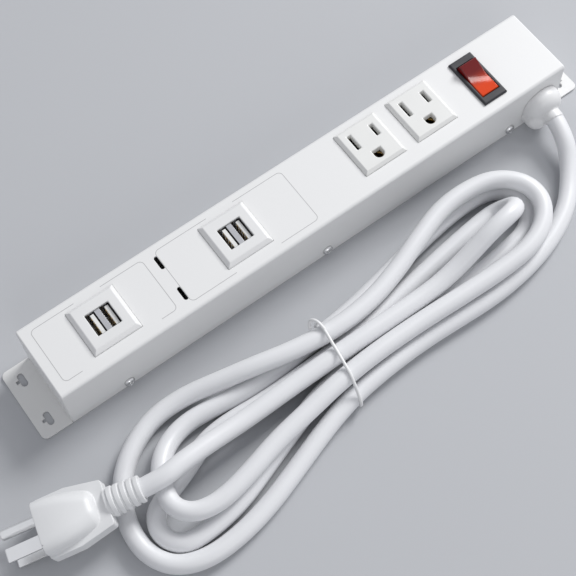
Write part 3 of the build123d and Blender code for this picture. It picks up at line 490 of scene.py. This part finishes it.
softened("top_cover", case_paint, 0.12)
softened("base_plate", base_paint, 0.2)
softened("side_screws", screw_chrome, 0.1)
for number in (1, 2):
    softened(f"outlet_{number}_face", outlet_plastic, 0.3, 3)
    softened(f"usb_{number}_bezel", usb_plastic, 0.4, 3)
    softened(f"usb_{number}_shell", usb_steel, 0.08)
    softened(f"usb_{number}_tongues", tongue_plastic, 0.1)
    softened(f"usb_{number}_contacts", contact_brass)
softened("switch_housing", switch_plastic, 0.25, 3)
relief = softened("strain_relief", gland_plastic, 0.6, 4)
plug = softened("plug_body", plug_vinyl, 0.35, 3)
hot_blade = softened("plug_hot_blade", blade_nickel, 0.12)
neutral_blade = softened("plug_neutral_blade", blade_nickel, 0.12)
ground_pin = softened("plug_ground_pin", blade_nickel, 0.1)
finished = [piece.name for piece in bpy.data.objects if piece.name.endswith("_finished")]
print("softened pieces", len(finished))

# %% [markdown]
# ## The wire tie
# A thin plastic-covered wire is pulled round the waist of the cord and its end is bent over in a
# small curl. A ring with a fixed outline would cut into the turns, so the wire is a closed NURBS
# line drawn in the tie's own plane, round the outermost turns, and the curl is a second, open line.
# Each control point gives how far it is across the cord, its height and how far it is along the
# cord, in millimetres.

# %% Wire tie
TIE_RADIUS = 0.8
TIE_MIDDLE = Vector((-33.0, -73.6, 0.0))
TIE_TURN = radians(-8.0)
tie_loop = [
    (-10, 0.9, 0), (-20.5, 0.9, 0), (-23.2, 6.5, 0), (-19.8, 11.5, 0), (-14, 18, 0), (-9, 20.6, 0),
    (2, 20.3, 0), (14, 20.8, 0), (19.8, 18.5, 0), (22.2, 10.5, 0), (23.4, 3.6, 0), (19.5, 0.9, 0),
    (8, 0.9, 0),
]
tie_curl = [
    (14, 20.4, 0.2), (18.5, 21.4, -0.6), (21.8, 20.2, -2.6), (21.6, 17.6, -4.6), (18.6, 17.6, -5),
]


def tie_points(points):
    """Points of the tie's plane as points of the strip, in millimetres."""
    turn = Matrix.Rotation(TIE_TURN, 3, "Z")
    return [tuple(TIE_MIDDLE + turn @ Vector((along, across, up))) for across, up, along in points]


tie_look = {"radius": TIE_RADIUS, "material": tie_vinyl, "slot": "tie_plastic", "sides": 12}
tie = smooth_line("cord_tie_wire", tie_points(tie_loop), closed=True, **tie_look)
curl = smooth_line("cord_tie_curl", tie_points(tie_curl), **tie_look)
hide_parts("cord_tie")
print("tie is", len(tie_loop), "points and its curl", len(tie_curl))

# %% [markdown]
# ## Printed borders
# A thin grey line is screen printed on the top round each USB module, with gaps where the ink
# stops. It could be painted by the coat's nodes, but a line a third of a millimetre wide would blur
# when the finish is baked, so the ink is modelled: a rectangle whose corners are bevelled, an inset
# that leaves a narrow ring, cuts where the gaps begin and end, and a skin a few hundredths of a
# millimetre thick.

# %% Printed borders
INK_WIDTH, INK_THICK, BORDER_CORNER = 0.35, 0.03, 2.6
ON_THE_CUT = 1e-7
top_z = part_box("top_cover")[1][2]


def printed_border(name, low, high, gaps, material):
    """A rounded rectangle between two corners in millimetres, open at gaps (side, from, to)."""
    shape = bmesh.new()
    outline = [(low[0], low[1]), (high[0], low[1]), (high[0], high[1]), (low[0], high[1])]
    corners = [shape.verts.new((x * MM, y * MM, 0.0)) for x, y in outline]
    shape.faces.new(corners)
    bmesh.ops.bevel(
        shape, geom=corners, offset=BORDER_CORNER * MM, offset_type="OFFSET", affect="VERTICES",
        segments=8, profile=0.5, material=-1,
    )
    inset = bmesh.ops.inset_region(
        shape, faces=shape.faces[:], thickness=INK_WIDTH * MM, use_even_offset=True,
        use_boundary=True,
    )
    ring = set(inset["faces"])
    middle = [face for face in shape.faces if face not in ring]
    bmesh.ops.delete(shape, geom=middle, context="FACES")
    half_way = (low[1] + high[1]) / 2 * MM
    for side, start, end in gaps:
        for cut in (start, end):
            bmesh.ops.bisect_plane(
                shape, geom=shape.verts[:] + shape.edges[:] + shape.faces[:], dist=ON_THE_CUT,
                plane_co=(cut * MM, 0, 0), plane_no=(1, 0, 0),
            )
        gone = [
            face for face in shape.faces
            if start * MM < face.calc_center_median().x < end * MM
            and (face.calc_center_median().y - half_way) * side > 0
        ]
        bmesh.ops.delete(shape, geom=gone, context="FACES")
    raised = bmesh.ops.extrude_face_region(shape, geom=shape.faces[:])["geom"]
    raised_points = [item for item in raised if isinstance(item, bmesh.types.BMVert)]
    bmesh.ops.translate(shape, verts=shape.verts, vec=(0, 0, top_z - INK_THICK * MM / 2))
    bmesh.ops.translate(shape, verts=raised_points, vec=(0, 0, INK_THICK * MM))
    bmesh.ops.recalc_face_normals(shape, faces=shape.faces)
    return dress(finished_mesh(name, shape), material)


border_ink = plastic("border_ink", (0.50, 0.50, 0.50), 0.45, 0.5, 0.002)
printed_border(
    "printed_border_1", (-144.7, -15.1), (-82.5, 16.3),
    [(1, -120.5, -106), (-1, -135, -91.5)], border_ink,
)
printed_border(
    "printed_border_2", (-75.7, -16.2), (-1.5, 16.4),
    [(1, -45.5, -30), (-1, -50, -24)], border_ink,
)
print("printed borders on z", top_z)

# %% [markdown]
# ## The lit rocker
# The rocker is clear red plastic over a small lamp. Its front slope faces the light and glows
# orange red, and its back slope is seen at a flatter angle and stays deep red, with the lamp's
# facets behind. Real see-through plastic would need many light bounces, so this light and shade
# are painted into the colour along the rocker, a painted glow in front and painted shade behind,
# under a smooth gloss.

# %% Rocker
ROCKER_MIDDLE = (0.1095, 0.0002, 0.0)  # metres
# painted shade is full this far behind the middle, and painted glow this far in front of it
PAINTED_SHADE_AT, PAINTED_GLOW_AT = 0.0035, -0.0055  # metres behind the middle and in front of it


def clear_red(name):
    """Red see-through plastic with a painted glow on its thin front half, where the light comes
    through.
    """
    finish = new_finish(name)
    cloud = finish.grain(4.0)
    # painted glow and shade: the colour runs from dark red behind the middle to orange red in front
    painted_glow = finish.axis("Y", finish.place(centre=ROCKER_MIDDLE)).step(PAINTED_SHADE_AT, PAINTED_GLOW_AT)
    share = painted_glow * (0.9 + 0.1 * cloud)
    return finish.done(
        # dark red of the painted shade and orange red of the painted glow
        base_color=finish.blend(share, (0.15, 0.004, 0.004), (0.74, 0.055, 0.001)),
        roughness=0.10 + 0.05 * cloud,
        normal=finish.bump(finish.grain(1.5), 0.004),
        ior=1.45,
    )


rocker_plastic = clear_red("rocker_plastic")
rocker = softened("switch_rocker", rocker_plastic, 0.15, body="rocker")

# %% [markdown]
# ## The pieces inside
# Behind the openings are brass buses, circuit boards with their parts, wires and the switch's
# spring and lamp. Little of them is seen, so they keep the shapes of the construction and only get
# their finishes: brass for what carries current, black, white and green jackets on the wires,
# ferrite and aluminium on the boards. Leaving them bare would show grey in the slots and sockets.

# %% Inner pieces
def warm_glass(name):
    """Thin glass with the warm glow of a small lamp."""
    finish = new_finish(name)
    return finish.done(
        base_color=finish.blend(finish.grain(1.0), (0.8, 0.45, 0.25), (0.9, 0.7, 0.5)),
        roughness=0.1 + 0.05 * finish.grain(0.6),
        transmission_weight=0.6,
    )


inner_finishes = {
    "contact_tray": tray_plastic, "neutral_bus": contact_brass, "hot_bus": contact_brass,
    "ground_bus": contact_brass, "ground_lug": contact_brass, "ground_screw": screw_chrome,
    "switch_bridge": contact_brass, "switch_terminals": contact_brass,
    "switch_plunger": tongue_plastic, "switch_spring": usb_steel, "hot_wires": wire_black,
    "usb_feed_wires": wire_black, "neutral_wire": wire_white, "ground_wires": wire_green,
}
for number in (1, 2):
    inner_finishes[f"usb_{number}_board"] = circuit_board
    inner_finishes[f"usb_{number}_tray"] = tray_plastic
    inner_finishes[f"usb_{number}_transformer"] = ferrite
    inner_finishes[f"usb_{number}_capacitors"] = can_aluminium
inner_finishes["switch_lamp"] = warm_glass("lamp_glass")
for node, material in inner_finishes.items():
    slots = frame["nodes"][node].material_slots
    if not slots:
        frame["nodes"][node].data.materials.append(material)
    for material_slot in frame["nodes"][node].material_slots:
        material_slot.material = material
print("inner pieces", len(inner_finishes))

# %% [markdown]
# ## Where the cord leaves
# A cord can be laid again in another way. What sits on it is the gland, the plug with its blades
# and pin, and the tie. The point where it leaves the casing, the first point of its route, is kept
# here in metres. Nothing is modelled in this step.

cord_exit = [coordinate * MM for coordinate in cord_points[0]]

# %% [markdown]
# ## The floor
# A studio sweep is a sheet of matt board. One large square with a faint mottle is enough here: it
# reaches so far that its edge is hard to see even from low down, and it lies a hair below the base
# plate, so that the two never share a plane.

# %% Floor
FLOOR_HALF_SIDE, FLOOR_GAP = 20.0, 0.0002


def studio_floor(name, colour):
    """A matt square far larger than the strip."""
    finish = new_finish(name)
    cloud = finish.grain(60.0)
    material = finish.done(
        base_color=finish.blend(cloud, [channel * 0.985 for channel in colour], colour),
        roughness=0.75 + 0.05 * cloud,
    )
    shape = bmesh.new()
    bmesh.ops.create_grid(shape, x_segments=2, y_segments=2, size=FLOOR_HALF_SIDE)
    floor = finished_mesh(name, shape)
    floor.location.z = -FLOOR_GAP
    floor.data.materials.append(material)
    return floor


floor = studio_floor("floor", (0.50, 0.51, 0.53))
print("floor at z", floor.location.z)

# %% [markdown]
# ## The lamps
# White on a pale floor only reads through shading, so one large softbox stands far off to the right
# and lights the tops and the right-hand end, while the front wall turns away into a soft grey. A
# small lamp, high up and to the right of the switch, draws the bright band on the glossy rocker,
# and a weak fill from the front opens the shadows. Even light all round would be simpler and would
# flatten it.

# %% Lamps
def softbox(name, location, target, size, watts):
    """A square area lamp of a size in metres, turned towards a point."""
    light = bpy.data.lights.new(name, "AREA")
    light.shape, light.size, light.energy = "SQUARE", size, watts
    lamp = bpy.data.objects.new(name, light)
    bpy.context.scene.collection.objects.link(lamp)
    lamp.location = location
    direction = Vector(target) - Vector(location)
    lamp.rotation_euler = direction.to_track_quat("-Z", "Y").to_euler()
    return lamp


lamps = [
    softbox("key", (2.2, 0.56, 1.85), (0.0, -0.03, 0.0), 1.0, 65.0),
    softbox("rocker_glint", (0.58, 0.09, 1.02), (0.11, 0.0, 0.03), 0.16, 0.8),
    softbox("fill", (-0.25, -1.2, 0.8), (0.0, -0.03, 0.0), 0.8, 3.0),
]
print("lamps", [lamp.name for lamp in lamps])

# %% [markdown]
# ## The room
# The room's own light comes from everywhere. It should be bright where it mirrors in metal and
# gloss, and dimmer where it lights the plastic, or the shading of the white pieces washes out. The
# world therefore asks what kind of ray it meets, which no single strength can do.

# %% Room
def studio_world(colour, on_surfaces, in_reflections):
    """A plain sky that lights less brightly than it is seen, mirrored or seen through glass."""
    sky = Finish(bpy.data.worlds.new("world"))
    shown = 0.0
    for kind in ("Is Camera Ray", "Is Glossy Ray", "Is Transmission Ray"):
        ray = sky.node("ShaderNodeLightPath", output=kind)
        shown = ray.math("MAXIMUM", ray, shown)
    strength = on_surfaces + (in_reflections - on_surfaces) * shown
    inputs = {"Color": (*colour, 1.0), "Strength": strength}
    background = sky.node("ShaderNodeBackground", None, inputs)
    sky.node("ShaderNodeOutputWorld", None, {"Surface": background})
    bpy.context.scene.world = sky.owner


studio_world((0.92, 0.94, 1.0), 0.42, 0.8)
bpy.context.scene.view_settings.view_transform = "Standard"
print("room is set, view transform", bpy.context.scene.view_settings.view_transform)
